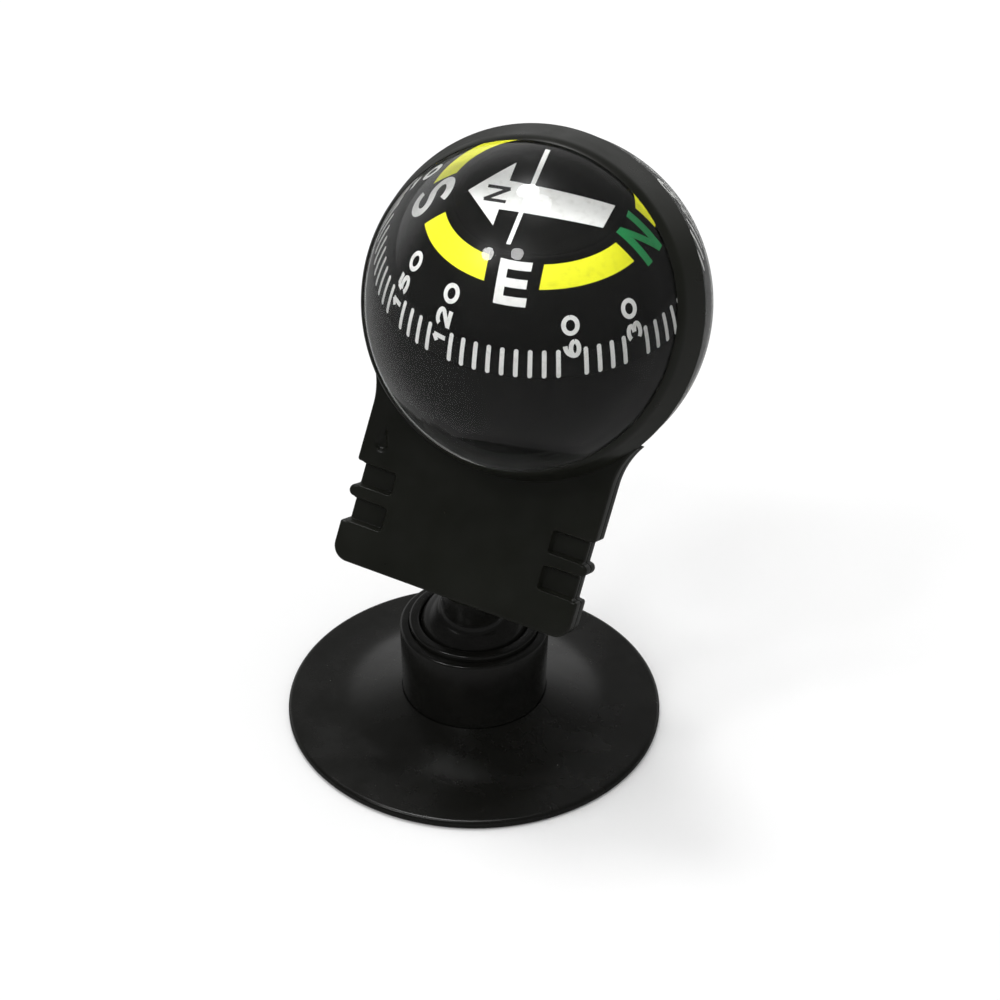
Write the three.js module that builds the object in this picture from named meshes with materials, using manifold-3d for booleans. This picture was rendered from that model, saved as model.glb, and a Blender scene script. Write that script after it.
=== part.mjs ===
// A car dashboard compass: a liquid-filled ball with a floating card, clamped in a flat two-part frame
// that stands on a ball joint over a suction cup. Millimetres, +Z up, the frame faces -Y.
// The origin is the middle of the suction cup's rim, on the surface that the cup stands on.

import * as THREE from "three";
import { mergeVertices } from "three/addons/utils/BufferGeometryUtils.js";
import Module from "manifold-3d";

const wasm = await Module();
wasm.setup();

// Clearances
const seatGap = 0.1; // between pieces that rest on each other
const ballGap = 0.15; // between the joint ball and what holds it
const domeGap = 0.15; // between the clear ball and its collar
const cutOver = 0.5; // how far a cut runs past the piece
const weldDistance = 1e-4; // corners closer than this are one

// Suction cup
const cupRadius = 22.5;
const cupRimHeight = 1.1;
const cupRimRound = 0.45;
const cupFaceWidth = 2.4;
const cupHollowHeight = 1.3;
const cupWebThickness = 0.9; // rubber between the hollow and the housing's spigot
const cupSeatHeight = 3.4; // seat under the housing's shoulder
const cupFlareHeight = 3.75; // top of the flare, where it wraps the housing's foot
const cupFlareReach = 7; // how far out the flare's steep part runs
const cupFlareRise = 0.25; // how far the flare's shallow part rises above the rim

// Socket housing, pressed into the cup by its spigot
const housingFloor = 1.05; // at its thinnest, under the ball
const housingWall = 1;
const housingTaper = 0.25; // the foot is this much smaller than the lip
const housingLipHeight = 1.95; // above the ball's centre
const housingRound = 0.35;
const spigotRadius = 5;
const spigotBead = 0.35;
const spigotBeadHeight = 0.5;

// Ball joint
const ballRadius = 6.8;
const liningWall = 0.85;
const liningSlotWidth = 1.6;
const liningSlotDepth = 3;
const ringRise = 0.7; // the snap ring stands this far above the housing's lip
const ringRound = 0.3;
const ringBead = 0.25;
const ringBeadHeight = 0.9;
const stemRadius = 3.8;
const stemReach = 10.4; // from the ball's centre to the boss
const stemFlare = 0.7; // fillet between ball and stem
const pegRadius = 2.4;
const pegLength = 6;
const pegChamfer = 0.4;
const stemAngle = THREE.MathUtils.degToRad(40); // the stem leans forward of the head by this

// Head: the frame and the clear ball
const headLean = THREE.MathUtils.degToRad(27.6);
const headRoll = THREE.MathUtils.degToRad(5.3);
const jointDrop = 6.89; // the joint ball's centre lies this far below the plate's bottom edge
const headSetback = 12.65; // the joint ball lies this far behind the clear ball's centre
const frameFront = 2.67; // the plate's front face, ahead of the clear ball's centre
const frontThickness = 1.72;
const rearThickness = 1.69;
const plateHalfWidth = 15.05;
const plateBelowCollar = 15.32; // from the collar's lowest point down to the plate's bottom edge
const plateCorner = 1.9;
const shoulderRadius = 9;
const collarRearWall = 0.4; // at its rear edge
const collarBack = 2.2; // the collar's rear edge lies this far ahead of the clear ball's centre
const collarReach = 7.5; // its lip lies this far ahead
const collarBevel = 1.2; // length of the bevel behind the lip
const collarWall = 0.3; // at the bevel
const collarLip = 0.15; // width of the lip's flat edge

// Finger grooves in both edges of the plate
const grooveBelowCollar = 3.37; // from the collar's lowest point down to the upper groove
const upperGrooveHeight = 2.83;
const gripRibHeight = 1.4;
const lowerGrooveHeight = 3.04;
const grooveDepth = 0.8;
const grooveRound = 0.35;
const pocketLength = 5.2;
const pocketDepth = 0.9;
const pocketRound = 0.6;

// Drop-shaped dimple on the plate's left
const dimpleInset = 2.4; // from the plate's left edge
const dimpleBelowCollar = 0.75;
const dimpleRadius = 0.85;
const dimpleLength = 3.4;
const dimpleDepth = 0.4;

// Frame screws, driven from behind
const screwHeadRadius = 1.6;
const screwHeadHeight = 0.9;
const screwSlotWidth = 0.5;
const screwSlotDepth = 0.45;
const screwShankRadius = 0.85;
const screwBite = 0.9; // how far a screw goes into the front frame
const screwGap = 0.12;
const upperScrewInset = 2.55; // from the plate's side edge
const upperScrewRise = 1.15; // above the collar's lowest point
const lowerScrewInset = 4.55;
const lowerScrewRise = 2.77; // above the plate's bottom edge

// Boss on the rear frame for the stem's peg
const bossRadius = 4.4;

// Cradle behind the lower half of the clear ball
const cradleReach = 4.6;
const cradleWall = 1.15;
const cradleEdge = 0.35;
const cradleAcross = 11;

// Clear ball
const domeRadius = 19.9;
const domeWall = 1.6;
const sealThickness = 0.5;
const sealWidth = 0.9;
const plugRadius = 1.5;
const plugHeadRadius = 2.6;
const plugHeadHeight = 0.6;

// Floating card
const liquidDepth = 4.8; // between the clear ball's inside and the card
const cardWall = 1;
const cardTopDrop = 3.2; // the flat top lies this far below the top of the card's own ball
const cardHeading = THREE.MathUtils.degToRad(10);
const cardStepHeight = 1.2;
const cardStepWall = 0.45;
const trayThickness = 1;
const trayRim = 1.2;
const magnetLength = 17;
const magnetWidth = 4;
const magnetHeight = 2.4;
const magnetWall = 0.9;
const ballastRadius = 4.5;
const ballastHeight = 2.6;
const ballastPegRadius = 1.2;
const pivotTipRadius = 0.35;
const pivotGap = 0.3; // between the pivot's tip and the clear ball's inside

// Facets round each turned piece, and steps along the curves of a profile
const coarseFacets = 28;
const fineFacets = 44;
const smallFacets = 12;
const roundSteps = 2;
const flareSteps = 3;
const sweepSteps = 4;

// Levels of the base, each seated on the one below
const wellHeight = cupHollowHeight + cupWebThickness;
const spigotBottom = wellHeight + seatGap;
const liningInner = ballRadius + ballGap;
const liningOuter = liningInner + liningWall;
const boreRadius = liningOuter + seatGap;
const ballHeight = spigotBottom + housingFloor + boreRadius;
const housingLip = ballHeight + housingLipHeight;
const ringBeadMiddle = ballHeight + housingLipHeight / 2;
const housingRadius = boreRadius + housingWall;
const footRadius = housingRadius - housingTaper;

// Sizes of the head, measured from the clear ball's centre
const seam = -frameFront + frontThickness;
const domeSeam = -collarBack - sealThickness;
const rearFrameFront = seam + seatGap;
const frameRear = rearFrameFront + rearThickness;
const collarInner = domeRadius + domeGap;
const collarOuter = collarInner + collarRearWall;
const domeInner = domeRadius - domeWall;
const cardRadius = domeInner - liquidDepth;
const cardTop = cardRadius - cardTopDrop;
const plateDrop = collarOuter + plateBelowCollar;
const headHeight = plateDrop + jointDrop;
const upperGrooveTop = collarOuter + grooveBelowCollar;
const gripRibTop = upperGrooveTop + upperGrooveHeight;
const gripRibBottom = gripRibTop + gripRibHeight;
const lowerGrooveBottom = gripRibBottom + lowerGrooveHeight;

const black = (roughness) => new THREE.MeshStandardMaterial({ color: 0x10110f, roughness, metalness: 0 });
const rubber = new THREE.MeshStandardMaterial({ color: 0x1c1c19, roughness: 0.5, metalness: 0 });
const gloss = black(0.22);
const satin = black(0.4);
const clear = new THREE.MeshStandardMaterial({
  color: 0xf2f5f5,
  roughness: 0.05,
  metalness: 0,
  transparent: true,
  opacity: 0.25,
});
const nylon = new THREE.MeshStandardMaterial({ color: 0xd9d6cc, roughness: 0.5, metalness: 0 });
const steel = new THREE.MeshStandardMaterial({ color: 0x9a9c9e, roughness: 0.35, metalness: 1 });
const ferrite = new THREE.MeshStandardMaterial({ color: 0x3a3a3c, roughness: 0.6, metalness: 0.3 });

// A closed three.js geometry as a solid.
function solid(geometry) {
  const bare = geometry.clone();
  bare.deleteAttribute("normal");
  bare.deleteAttribute("uv");
  const merged = mergeVertices(bare, weldDistance);
  const corners = merged.index.array;
  const kept = [];
  for (let i = 0; i < corners.length; i += 3) {
    const [a, b, c] = corners.slice(i, i + 3);
    if (a !== b && b !== c && c !== a) kept.push(a, b, c);
  }
  const vertProperties = merged.attributes.position.array;
  return new wasm.Manifold(new wasm.Mesh({ numProp: 3, vertProperties, triVerts: new Uint32Array(kept) }));
}

// A solid as a named mesh.
function piece(name, body, material) {
  const mesh = body.getMesh();
  const geometry = new THREE.BufferGeometry();
  geometry.setAttribute("position", new THREE.BufferAttribute(mesh.vertProperties, 3));
  geometry.setIndex(new THREE.BufferAttribute(mesh.triVerts, 1));
  geometry.computeVertexNormals();
  const made = new THREE.Mesh(geometry, material);
  made.name = name;
  return made;
}

// A profile of radius against height, turned about Y.
function turned(profile, facets, steps) {
  return new THREE.LatheGeometry(profile.getPoints(steps), facets);
}

// The same turned about Z.
function turnedUp(profile, facets, steps) {
  return turned(profile, facets, steps).rotateX(Math.PI / 2);
}

// A shape drawn across X and up Z, filled from y = front back to y = rear.
function slab(shape, front, rear) {
  const geometry = new THREE.ExtrudeGeometry(shape, {
    depth: rear - front,
    bevelEnabled: false,
    curveSegments: roundSteps,
  });
  return solid(geometry.rotateX(Math.PI / 2).translate(0, rear, 0));
}

// A cylinder along Y, from y = front back to y = rear.
function rod(radius, x, z, front, rear, facets) {
  const length = rear - front;
  const geometry = new THREE.CylinderGeometry(radius, radius, length, facets);
  return solid(geometry.translate(x, front + length / 2, z));
}

// A block by its two far corners.
function block(x0, x1, y0, y1, z0, z1) {
  const geometry = new THREE.BoxGeometry(x1 - x0, y1 - y0, z1 - z0);
  return solid(geometry.translate((x0 + x1) / 2, (y0 + y1) / 2, (z0 + z1) / 2));
}

// Angle at which a circle of the given radius stands at the given offset along its axis.
function angleAt(offset, radius) {
  return Math.asin(offset / radius);
}

// Suction cup: a flat lip, a shallow hollow, a flare, and a well for the housing's spigot.
function suctionCup() {
  const wellRadius = spigotRadius + seatGap;
  const wrapRadius = footRadius + seatGap;
  const p = new THREE.Path();
  p.moveTo(0, cupHollowHeight);
  p.quadraticCurveTo((cupRadius - cupFaceWidth) / 2, cupHollowHeight, cupRadius - cupFaceWidth, 0);
  p.lineTo(cupRadius - cupRimRound, 0);
  p.absarc(cupRadius - cupRimRound, cupRimRound, cupRimRound, -Math.PI / 2, 0, false);
  p.lineTo(cupRadius, cupRimHeight - cupRimRound);
  p.absarc(cupRadius - cupRimRound, cupRimHeight - cupRimRound, cupRimRound, 0, Math.PI / 2, false);
  p.quadraticCurveTo(wrapRadius + cupFlareReach, cupRimHeight + cupFlareRise, wrapRadius, cupFlareHeight);
  p.lineTo(wrapRadius, cupSeatHeight);
  p.lineTo(wellRadius, cupSeatHeight);
  p.lineTo(wellRadius, wellHeight + spigotBeadHeight + 2 * seatGap);
  p.lineTo(wellRadius + spigotBead, wellHeight + spigotBeadHeight + seatGap);
  p.lineTo(wellRadius + spigotBead, wellHeight);
  p.lineTo(0, wellHeight);
  return piece("suction_cup", solid(turnedUp(p, fineFacets, flareSteps)), rubber);
}

// Socket housing: a cup with a spigot below and a snap groove near its lip.
function socketHousing() {
  const shoulder = cupSeatHeight + seatGap;
  const groove = ringBeadMiddle - ringBeadHeight / 2 - seatGap;
  const p = new THREE.Path();
  p.moveTo(0, spigotBottom);
  p.lineTo(spigotRadius + spigotBead, spigotBottom);
  p.lineTo(spigotRadius + spigotBead, spigotBottom + spigotBeadHeight);
  p.lineTo(spigotRadius, spigotBottom + spigotBeadHeight + seatGap);
  p.lineTo(spigotRadius, shoulder);
  p.lineTo(footRadius - housingRound, shoulder);
  p.absarc(footRadius - housingRound, shoulder + housingRound, housingRound, -Math.PI / 2, 0, false);
  p.lineTo(housingRadius, housingLip - housingRound);
  p.absarc(housingRadius - housingRound, housingLip - housingRound, housingRound, 0, Math.PI / 2, false);
  p.lineTo(boreRadius, housingLip);
  p.lineTo(boreRadius, groove + ringBeadHeight + 2 * seatGap);
  p.lineTo(boreRadius + ringBead, groove + ringBeadHeight + seatGap);
  p.lineTo(boreRadius + ringBead, groove + seatGap);
  p.lineTo(boreRadius, groove);
  p.absarc(0, ballHeight, boreRadius, 0, -Math.PI / 2, true);
  return piece("socket_housing", solid(turnedUp(p, fineFacets, flareSteps)), gloss);
}

// Ball lining: the friction cup under the ball, slotted so that it can give.
function ballLining() {
  const top = ballHeight - seatGap;
  const p = new THREE.Path();
  p.absarc(0, ballHeight, liningOuter, -Math.PI / 2, -angleAt(seatGap, liningOuter), false);
  p.absarc(0, ballHeight, liningInner, -angleAt(seatGap, liningInner), -Math.PI / 2, true);
  let body = solid(turnedUp(p, coarseFacets, flareSteps));
  const slot = block(
    -liningOuter - cutOver,
    liningOuter + cutOver,
    -liningSlotWidth / 2,
    liningSlotWidth / 2,
    top - liningSlotDepth,
    top + cutOver,
  );
  body = body.subtract(slot);
  return piece("ball_lining", body, nylon);
}

// Snap ring: holds the ball down, with a round shoulder and a round mouth.
function snapRing() {
  const bottom = ballHeight + seatGap;
  const top = housingLip + ringRise;
  const outer = liningOuter;
  const mouth = Math.sqrt(liningInner ** 2 - (top - ringRound - ballHeight) ** 2);
  const low = angleAt(bottom - ballHeight, liningInner);
  const p = new THREE.Path();
  p.moveTo(liningInner * Math.cos(low), bottom);
  p.lineTo(outer, bottom);
  p.lineTo(outer, ringBeadMiddle - ringBeadHeight / 2);
  p.lineTo(outer + ringBead, ringBeadMiddle - ringBeadHeight / 2 + seatGap);
  p.lineTo(outer + ringBead, ringBeadMiddle + ringBeadHeight / 2 - seatGap);
  p.lineTo(outer, ringBeadMiddle + ringBeadHeight / 2);
  p.lineTo(outer, top - ringRound);
  p.absarc(outer - ringRound, top - ringRound, ringRound, 0, Math.PI / 2, false);
  p.absarc(mouth + ringRound, top - ringRound, ringRound, Math.PI / 2, Math.PI, false);
  p.absarc(0, ballHeight, liningInner, angleAt(top - ringRound - ballHeight, liningInner), low, true);
  return piece("socket_ring", solid(turnedUp(p, fineFacets, flareSteps)), gloss);
}

// Ball stud: the joint ball, its stem, and the peg that turns in the rear frame's boss.
function ballStud() {
  const flare = stemRadius + stemFlare;
  const leave = Math.acos(flare / ballRadius);
  const flareHeight = ballRadius * Math.sin(leave);
  const p = new THREE.Path();
  p.moveTo(0, -ballRadius);
  p.absarc(0, 0, ballRadius, -Math.PI / 2, leave, false);
  p.quadraticCurveTo(stemRadius, flareHeight + stemFlare / 2, stemRadius, flareHeight + 2 * stemFlare);
  p.lineTo(stemRadius, stemReach);
  p.lineTo(pegRadius, stemReach);
  p.lineTo(pegRadius, stemReach + pegLength - pegChamfer);
  p.lineTo(pegRadius - pegChamfer, stemReach + pegLength);
  p.lineTo(0, stemReach + pegLength);
  return piece("ball_stud", solid(turnedUp(p, coarseFacets, sweepSteps)), gloss);
}

// One side of the plate's outline, from the bottom corner up to the collar.
// side is 1 on the right and -1 on the left.
function edgePoints(side) {
  const away = shoulderRadius + plateHalfWidth;
  const reach = shoulderRadius + collarOuter;
  const rise = -Math.sqrt(reach ** 2 - away ** 2);
  const ribRound = (gripRibBottom - gripRibTop) / 2;
  const inner = plateHalfWidth - grooveDepth;
  const p = new THREE.Path();
  p.moveTo(0, -plateDrop);
  p.absarc(plateHalfWidth - plateCorner, plateCorner - plateDrop, plateCorner, -Math.PI / 2, 0, false);
  p.lineTo(plateHalfWidth, -lowerGrooveBottom - grooveRound);
  p.lineTo(plateHalfWidth - grooveRound, -lowerGrooveBottom);
  p.lineTo(inner, -lowerGrooveBottom);
  p.lineTo(inner, -gripRibBottom);
  p.absarc(plateHalfWidth - ribRound, ribRound - gripRibBottom, ribRound, -Math.PI / 2, Math.PI / 2, false);
  p.lineTo(inner, -gripRibTop);
  p.lineTo(inner, -upperGrooveTop);
  p.lineTo(plateHalfWidth - grooveRound, -upperGrooveTop);
  p.lineTo(plateHalfWidth, -upperGrooveTop + grooveRound);
  p.absarc(away, rise, shoulderRadius, Math.PI, Math.atan2(-rise, -away), true);
  return p.getPoints(roundSteps).map((q) => new THREE.Vector2(side * q.x, q.y));
}

// The plate's outline, up to a chord inside the collar.
function plateShape() {
  const right = edgePoints(1);
  const left = edgePoints(-1).reverse();
  return new THREE.Shape([...right, ...left.slice(0, -1)]);
}

// The collar: a thin band that closes in round the clear ball and ends in a bevelled lip.
function collar() {
  const start = angleAt(-collarReach, collarInner);
  const lip = collarInner * Math.cos(start);
  const bevel = -collarReach + collarBevel;
  const p = new THREE.Path();
  p.moveTo(lip, -collarReach);
  p.lineTo(lip + collarLip, -collarReach);
  p.lineTo(collarInner * Math.cos(angleAt(bevel, collarInner)) + collarWall, bevel);
  p.lineTo(collarOuter, -collarBack);
  p.absarc(0, 0, collarInner, angleAt(-collarBack, collarInner), start, true);
  return solid(turned(p, fineFacets, roundSteps));
}

// The ball-sized hole through both plates.
function ballHole(rear) {
  return rod(collarInner, 0, 0, -frameFront - cutOver, rear + cutOver, fineFacets);
}

// Where the four frame screws go, across and up from the clear ball's centre.
function screwPlaces() {
  const upper = plateHalfWidth - upperScrewInset;
  const lower = plateHalfWidth - lowerScrewInset;
  return [
    [-upper, upperScrewRise - collarOuter],
    [upper, upperScrewRise - collarOuter],
    [-lower, lowerScrewRise - plateDrop],
    [lower, lowerScrewRise - plateDrop],
  ];
}

// A finger pocket: sunk into the plate's face and open at its edge, between two levels down the plate.
function pocket(side, top, bottom) {
  const inner = plateHalfWidth - pocketLength;
  const outer = plateHalfWidth + cutOver;
  const p = new THREE.Shape();
  p.moveTo(outer, -bottom);
  p.lineTo(outer, -top);
  p.lineTo(inner + pocketRound, -top);
  p.absarc(inner + pocketRound, -top - pocketRound, pocketRound, Math.PI / 2, Math.PI, false);
  p.absarc(inner + pocketRound, -bottom + pocketRound, pocketRound, Math.PI, 1.5 * Math.PI, false);
  const points = p.getPoints(roundSteps).map((q) => new THREE.Vector2(side * q.x, q.y));
  return slab(new THREE.Shape(points), -frameFront - cutOver, -frameFront + pocketDepth);
}

// The drop-shaped dimple: a half round below, drawn up to a point.
function dimple() {
  const across = dimpleInset - plateHalfWidth;
  const down = -collarOuter - dimpleBelowCollar;
  const p = new THREE.Shape();
  p.absarc(across, down, dimpleRadius, Math.PI, 2 * Math.PI, false);
  p.lineTo(across, down + dimpleLength - dimpleRadius);
  return slab(p, -frameFront - cutOver, -frameFront + dimpleDepth);
}

// Front frame: plate and collar in one moulding.
function frontFrame() {
  let body = slab(plateShape(), -frameFront, seam).subtract(ballHole(seam)).add(collar());
  for (const side of [-1, 1]) {
    body = body.subtract(pocket(side, upperGrooveTop, gripRibTop));
    body = body.subtract(pocket(side, gripRibBottom, lowerGrooveBottom));
  }
  body = body.subtract(dimple());
  const holeRadius = screwShankRadius + screwGap;
  const holeEnd = seam - screwBite - screwGap;
  for (const [x, z] of screwPlaces()) {
    body = body.subtract(rod(holeRadius, x, z, holeEnd, seam + cutOver, smallFacets));
  }
  return piece("front_frame", body, satin);
}

// Lays a geometry made about +Z from the joint ball's centre along the stem, in the frame's own axes.
function alongStem(geometry) {
  return geometry.rotateX(stemAngle).translate(0, headSetback, -headHeight);
}

// The slanted boss that takes the stem's peg, turned about the stem's own line.
function boss() {
  const reach = (headSetback - rearFrameFront) / Math.sin(stemAngle) + bossRadius / Math.tan(stemAngle);
  const start = stemReach + seatGap;
  const length = reach - start;
  const geometry = new THREE.CylinderGeometry(bossRadius, bossRadius, length, coarseFacets);
  geometry.rotateX(Math.PI / 2).translate(0, 0, start + length / 2);
  const behind = block(-bossRadius, bossRadius, rearFrameFront, headSetback, -headHeight, 0);
  return solid(alongStem(geometry)).intersect(behind);
}

// The bore in the boss, with room for the peg to turn.
function bossBore() {
  const radius = pegRadius + seatGap;
  const length = pegLength + seatGap + cutOver;
  const geometry = new THREE.CylinderGeometry(radius, radius, length, coarseFacets);
  geometry.rotateX(Math.PI / 2).translate(0, 0, stemReach - cutOver + length / 2);
  return solid(alongStem(geometry));
}

// The cradle: a lip that hugs the clear ball's lower back.
function cradle() {
  const front = rearFrameFront;
  const outer = collarOuter + cradleWall;
  const start = angleAt(front, collarInner);
  const p = new THREE.Path();
  p.moveTo(collarInner * Math.cos(start), front);
  p.lineTo(outer, front);
  p.lineTo(outer, cradleReach - cradleEdge);
  p.lineTo(outer - cradleEdge, cradleReach);
  p.absarc(0, 0, collarInner, angleAt(cradleReach, collarInner), start, true);
  const lip = solid(turned(p, fineFacets, roundSteps));
  const rear = cradleReach + cutOver;
  return lip.intersect(block(-cradleAcross, cradleAcross, front - cutOver, rear, -outer - cutOver, 0));
}

// Rear frame: the back half of the plate, with the boss and the cradle.
function rearFrame() {
  let body = slab(plateShape(), rearFrameFront, frameRear).subtract(ballHole(frameRear));
  body = body.add(cradle()).add(boss()).subtract(bossBore());
  const holeRadius = screwShankRadius + screwGap;
  const sinkRadius = screwHeadRadius + screwGap;
  const sinkFloor = frameRear - screwHeadHeight;
  for (const [x, z] of screwPlaces()) {
    body = body.subtract(rod(holeRadius, x, z, rearFrameFront - cutOver, frameRear, smallFacets));
    body = body.subtract(rod(sinkRadius, x, z, sinkFloor, frameRear + cutOver, smallFacets));
  }
  return piece("rear_frame", body, satin);
}

// A frame screw: a slotted head flush with the rear frame, and its shank.
function frameScrew(index, x, z) {
  const headFront = frameRear - screwHeadHeight + screwGap;
  const head = rod(screwHeadRadius, x, z, headFront, frameRear, smallFacets);
  const shank = rod(screwShankRadius, x, z, seam - screwBite, headFront + screwGap, smallFacets);
  const slot = block(
    x - screwHeadRadius - cutOver,
    x + screwHeadRadius + cutOver,
    frameRear - screwSlotDepth,
    frameRear + cutOver,
    z - screwSlotWidth / 2,
    z + screwSlotWidth / 2,
  );
  return piece("frame_screw_" + index, head.add(shank).subtract(slot), steel);
}

// Front dome: the clear part of the ball ahead of the seal.
function frontDome() {
  const edge = domeSeam - sealThickness / 2;
  const p = new THREE.Path();
  p.moveTo(0, -domeRadius);
  p.absarc(0, 0, domeRadius, -Math.PI / 2, angleAt(edge, domeRadius), false);
  p.absarc(0, 0, domeInner, angleAt(edge, domeInner), -Math.PI / 2, true);
  return piece("front_dome", solid(turned(p, fineFacets, sweepSteps)), clear);
}

// Rear dome: the clear part behind the seal, with the filling hole at its back.
function rearDome() {
  const edge = domeSeam + sealThickness / 2;
  const hole = plugRadius + seatGap;
  const p = new THREE.Path();
  p.absarc(0, 0, domeRadius, angleAt(edge, domeRadius), Math.acos(hole / domeRadius), false);
  p.absarc(0, 0, domeInner, Math.acos(hole / domeInner), angleAt(edge, domeInner), true);
  p.closePath();
  return piece("rear_dome", solid(turned(p, fineFacets, sweepSteps)), clear);
}

// Dome seal: a flat ring squeezed between the two domes, under the collar.
function domeSeal() {
  const outer = domeRadius - seatGap - (domeWall - sealWidth) / 2;
  const p = new THREE.Path();
  p.moveTo(outer - sealWidth, domeSeam - sealThickness / 2 + seatGap);
  p.lineTo(outer, domeSeam - sealThickness / 2 + seatGap);
  p.lineTo(outer, domeSeam + sealThickness / 2 - seatGap);
  p.lineTo(outer - sealWidth, domeSeam + sealThickness / 2 - seatGap);
  p.closePath();
  return piece("dome_seal", solid(turned(p, fineFacets, roundSteps)), rubber);
}

// Filling plug: a headed stopper in the rear dome.
function fillingPlug() {
  const seat = domeRadius + seatGap;
  const p = new THREE.Path();
  p.moveTo(0, domeInner);
  p.lineTo(plugRadius, domeInner);
  p.lineTo(plugRadius, seat);
  p.lineTo(plugHeadRadius, seat);
  p.lineTo(plugHeadRadius, seat + plugHeadHeight / 2);
  p.lineTo(plugHeadRadius - plugHeadHeight / 2, seat + plugHeadHeight);
  p.lineTo(0, seat + plugHeadHeight);
  return piece("filling_plug", solid(turned(p, smallFacets, roundSteps)), gloss);
}

// Upper card shell: the printed half, flat on top, with a rebate at its foot.
function cardUpper() {
  const inner = cardRadius - cardWall;
  const rebate = cardRadius - cardStepWall;
  const base = seatGap / 2;
  const p = new THREE.Path();
  p.moveTo(rebate, base);
  p.lineTo(cardRadius, base);
  p.absarc(0, 0, cardRadius, angleAt(base, cardRadius), angleAt(cardTop, cardRadius), false);
  p.lineTo(0, cardTop);
  p.lineTo(0, cardTop - cardWall);
  p.absarc(0, 0, inner, angleAt(cardTop - cardWall, inner), angleAt(cardStepHeight, inner), true);
  p.lineTo(rebate, cardStepHeight);
  p.closePath();
  return piece("card_upper", solid(turnedUp(p, coarseFacets, sweepSteps)), black(0.35));
}

// Lower card shell, with a ledge for the tray and a hole for the ballast's peg.
function cardLower() {
  const inner = cardRadius - cardWall;
  const top = -seatGap / 2;
  const ledge = -trayThickness - seatGap;
  const peg = ballastPegRadius + seatGap;
  const p = new THREE.Path();
  p.moveTo(inner - trayRim, ledge);
  p.lineTo(inner - trayRim, ledge - trayRim);
  p.absarc(0, 0, inner, -angleAt(trayRim - ledge, inner), -Math.acos(peg / inner), true);
  p.absarc(0, 0, cardRadius, -Math.acos(peg / cardRadius), angleAt(top, cardRadius), false);
  p.lineTo(inner, top);
  p.lineTo(inner, ledge);
  p.closePath();
  return piece("card_lower", solid(turnedUp(p, coarseFacets, sweepSteps)), black(0.35));
}

// Magnet tray: a disc on the lower shell's ledge, with walls round the magnet.
function magnetTray() {
  const radius = cardRadius - cardWall - seatGap;
  const disc = new THREE.CylinderGeometry(radius, radius, trayThickness, coarseFacets);
  let body = solid(disc.rotateX(Math.PI / 2).translate(0, 0, -trayThickness / 2 - seatGap));
  const wallX = magnetLength / 2 + seatGap + magnetWall;
  const wallY = magnetWidth / 2 + seatGap + magnetWall;
  const base = -seatGap - trayThickness / 2;
  const walls = block(-wallX, wallX, -wallY, wallY, base, magnetHeight / 2);
  const room = block(
    -magnetLength / 2 - seatGap,
    magnetLength / 2 + seatGap,
    -magnetWidth / 2 - seatGap,
    magnetWidth / 2 + seatGap,
    -seatGap,
    magnetHeight,
  );
  body = body.add(walls).subtract(room);
  return piece("magnet_tray", body, nylon);
}

// Bar magnet, along the card's north-south line.
function cardMagnet() {
  const bar = block(-magnetLength / 2, magnetLength / 2, -magnetWidth / 2, magnetWidth / 2, 0, magnetHeight);
  return piece("card_magnet", bar, ferrite);
}

// Ballast: the weight in the bottom of the card, on a peg through the lower shell.
// The peg runs on down as the pivot that the card turns on, and its round tip stands on the clear ball.
function ballast() {
  const inner = cardRadius - cardWall;
  const rest = Math.sqrt(inner ** 2 - ballastRadius ** 2) - seatGap;
  const tip = pivotGap + pivotTipRadius - domeInner;
  const p = new THREE.Path();
  p.absarc(0, tip, pivotTipRadius, -Math.PI / 2, 0, false);
  p.lineTo(ballastPegRadius, -cardRadius);
  p.lineTo(ballastPegRadius, -rest);
  p.lineTo(ballastRadius, -rest);
  p.lineTo(ballastRadius, -rest + ballastHeight);
  p.lineTo(0, -rest + ballastHeight);
  return piece("card_ballast", solid(turnedUp(p, smallFacets, roundSteps)), steel);
}

const compass = new THREE.Group();
compass.add(suctionCup(), socketHousing(), snapRing(), ballLining());

// Everything that tilts, about the joint ball's centre.
const head = new THREE.Group();
head.position.set(0, 0, ballHeight);
head.rotation.set(-headLean, headRoll, 0, "YXZ");
compass.add(head);

const stud = ballStud();
stud.rotation.x = stemAngle;
head.add(stud);

// The frame and the clear ball, about the clear ball's centre.
const frame = new THREE.Group();
frame.position.set(0, -headSetback, headHeight);
frame.add(frontFrame(), rearFrame(), frontDome(), rearDome(), domeSeal(), fillingPlug());
screwPlaces().forEach(([x, z], index) => frame.add(frameScrew(index + 1, x, z)));
head.add(frame);

// The card floats level about the clear ball's centre.
const card = new THREE.Group();
card.position.copy(frame.position).applyEuler(head.rotation).add(head.position);
card.rotation.z = cardHeading;
card.add(cardUpper(), cardLower(), magnetTray(), cardMagnet(), ballast());
compass.add(card);

export default compass;
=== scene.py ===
import bmesh
import bpy
import numpy as np
from mathutils import Matrix


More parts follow.
